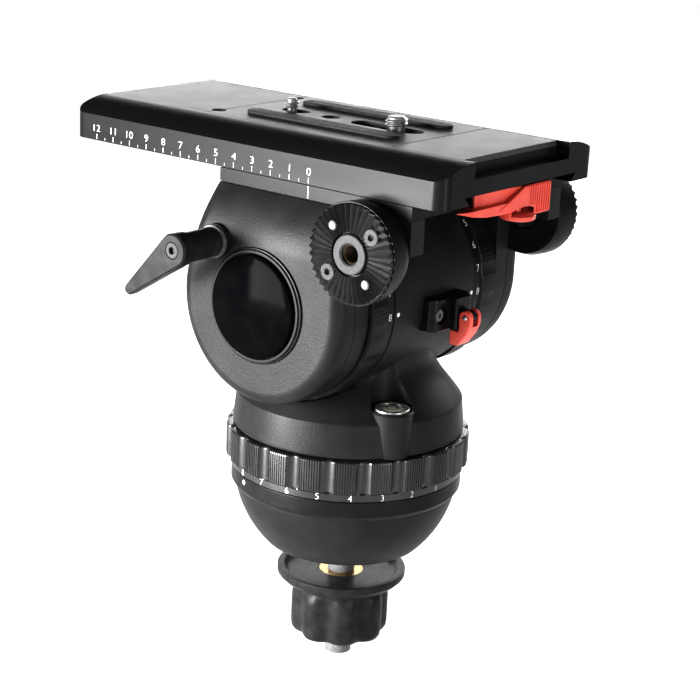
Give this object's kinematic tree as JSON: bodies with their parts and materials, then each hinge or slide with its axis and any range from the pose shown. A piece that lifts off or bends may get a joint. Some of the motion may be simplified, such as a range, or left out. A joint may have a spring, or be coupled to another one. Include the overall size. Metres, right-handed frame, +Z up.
{
  "type": "tripod fluid head",
  "caption": "Fluid head for a film tripod with a half-ball base, numbered drag rings, a tilting cradle with side rosettes and a long sliding camera plate.",
  "frame": {"origin": "centre of the levelling half ball, on the pan axis", "axes": "+Z up along the pan axis, X along the tilt axis, +Y forward, the way the camera looks"},
  "size_m": [0.1674, 0.2, 0.2492],
  "materials": {
    "black_casting": "fine textured black coat",
    "black_ring": "matt black, ribbed",
    "grey_alloy": "satin",
    "satin_panel": "fine satin",
    "steel": "bright",
    "brass": "turned",
    "black_plastic": "satin black",
    "gloss_cap": "glossy black",
    "red_plastic": "satin orange red",
    "rubber": "matt",
    "vial": "clear with a tinted liquid"
  },
  "bodies": {
    "base": {"half_ball": "black_casting", "base_ring": "black_casting", "pan_spindle": "steel", "spindle_nut": "brass", "pan_drag_core": "grey_alloy", "pan_drag_discs": "steel", "tie_down_stud": "steel", "base_screws": "steel"},
    "tie_down": {"tie_down_knob": "black_ring", "tie_down_cup": "black_ring", "tie_down_nut": "brass"},
    "pan_drag": {"pan_drag_ring": "black_ring"},
    "pan": {"pan_body": "black_casting", "pan_bearings": "steel", "tilt_shaft": "steel", "tilt_drag_discs": "steel", "balance_pack": "grey_alloy", "level_bezel": "steel", "level_vial": "vial", "latch_bracket": "black_casting", "latch_screw": "steel", "latch_pin": "steel"},
    "lamp": {"lamp_button": "rubber"},
    "pan_lock": {"pan_lock_hub": "black_plastic", "pan_lock_washer": "steel", "pan_lock_blade": "black_plastic", "pan_lock_screw": "steel"},
    "tilt_drag": {"tilt_drag_ring": "black_ring"},
    "balance": {"balance_ring": "black_ring"},
    "latch": {"latch_lever": "red_plastic"},
    "cradle": {"platform": "black_casting", "left_cheek": "black_casting", "right_cheek": "black_casting", "left_cover": "black_casting", "right_cover": "black_casting", "cheek_bearings": "steel", "cheek_screws": "steel", "cap_bezels": "black_plastic", "side_caps": "gloss_cap", "rosettes": "black_plastic", "rosette_inserts": "grey_alloy", "rosette_screws": "steel", "rosette_pins": "steel", "clamp_pin": "steel"},
    "tilt_lock": {"tilt_lock_hub": "black_plastic", "tilt_lock_washer": "steel", "tilt_lock_blade": "black_plastic", "tilt_lock_screw": "steel"},
    "clamp": {"clamp_lever": "red_plastic"},
    "release": {"clamp_button": "red_plastic"},
    "plate": {"camera_plate": "black_casting", "top_panels": "satin_panel", "grip_strips": "rubber"},
    "big_slider": {"big_carrier": "steel"},
    "big_stud": {"big_screw": "steel"},
    "small_slider": {"small_carrier": "steel"},
    "small_stud": {"small_screw": "steel"}
  },
  "joints": [
    {"name": "pan_turn", "type": "hinge", "parent": "base", "child": "pan", "pos_m": [0, 0, 0.03], "axis": [0, 0, 1], "continuous": true},
    {"name": "pan_drag_turn", "type": "hinge", "parent": "base", "child": "pan_drag", "pos_m": [0, 0, 0.01], "axis": [0, 0, 1], "range_deg": [-114.5, 0]},
    {"name": "tie_down_turn", "type": "hinge", "parent": "base", "child": "tie_down", "pos_m": [0, 0, -0.06], "axis": [0, 0, 1], "continuous": true},
    {"name": "tilt_turn", "type": "hinge", "parent": "pan", "child": "cradle", "pos_m": [0, 0, 0.0835], "axis": [1, 0, 0], "range_deg": [-70, 40]},
    {"name": "tilt_drag_turn", "type": "hinge", "parent": "pan", "child": "tilt_drag", "pos_m": [-0.036, 0, 0.0835], "axis": [1, 0, 0], "range_deg": [0, 94.5]},
    {"name": "balance_turn", "type": "hinge", "parent": "pan", "child": "balance", "pos_m": [0.036, 0, 0.0835], "axis": [1, 0, 0], "range_deg": [0, 94.5]},
    {"name": "lamp_press", "type": "slide", "parent": "pan", "child": "lamp", "axis": [-0.6691, 0.7431, 0], "range_m": [0, 0.0015], "stiffness_N_per_m": 400},
    {"name": "pan_lock_turn", "type": "hinge", "parent": "pan", "child": "pan_lock", "pos_m": [0.04243, 0.04243, 0.0263], "axis": [0.7071, 0.7071, 0], "range_deg": [0, 60]},
    {"name": "latch_swing", "type": "hinge", "parent": "pan", "child": "latch", "pos_m": [0.0072, -0.0564, 0.0772], "axis": [1, 0, 0], "range_deg": [-50, 0]},
    {"name": "tilt_lock_turn", "type": "hinge", "parent": "cradle", "child": "tilt_lock", "pos_m": [-0.075, 0.0223, 0.1068], "axis": [1, 0, 0], "range_deg": [0, 70]},
    {"name": "clamp_swing", "type": "hinge", "parent": "cradle", "child": "clamp", "pos_m": [0.0165, -0.062, 0.1265], "axis": [0, 0, 1], "range_deg": [-45, 0]},
    {"name": "release_press", "type": "slide", "parent": "clamp", "child": "release", "axis": [0, 0, 1], "range_m": [0, 0.002], "stiffness_N_per_m": 300},
    {"name": "plate_slide", "type": "slide", "parent": "cradle", "child": "plate", "axis": [0, 1, 0], "range_m": [-0.12, 0]},
    {"name": "big_shift", "type": "slide", "parent": "plate", "child": "big_slider", "axis": [0, 1, 0], "range_m": [-0.0072, 0.0172]},
    {"name": "big_turn", "type": "hinge", "parent": "big_slider", "child": "big_stud", "pos_m": [0, -0.018, 0.15], "axis": [0, 0, 1], "continuous": true},
    {"name": "small_shift", "type": "slide", "parent": "plate", "child": "small_slider", "axis": [0, 1, 0], "range_m": [-0.0055, 0.0008]},
    {"name": "small_turn", "type": "hinge", "parent": "small_slider", "child": "small_stud", "pos_m": [0, 0.039, 0.15], "axis": [0, 0, 1], "continuous": true}
  ]
}
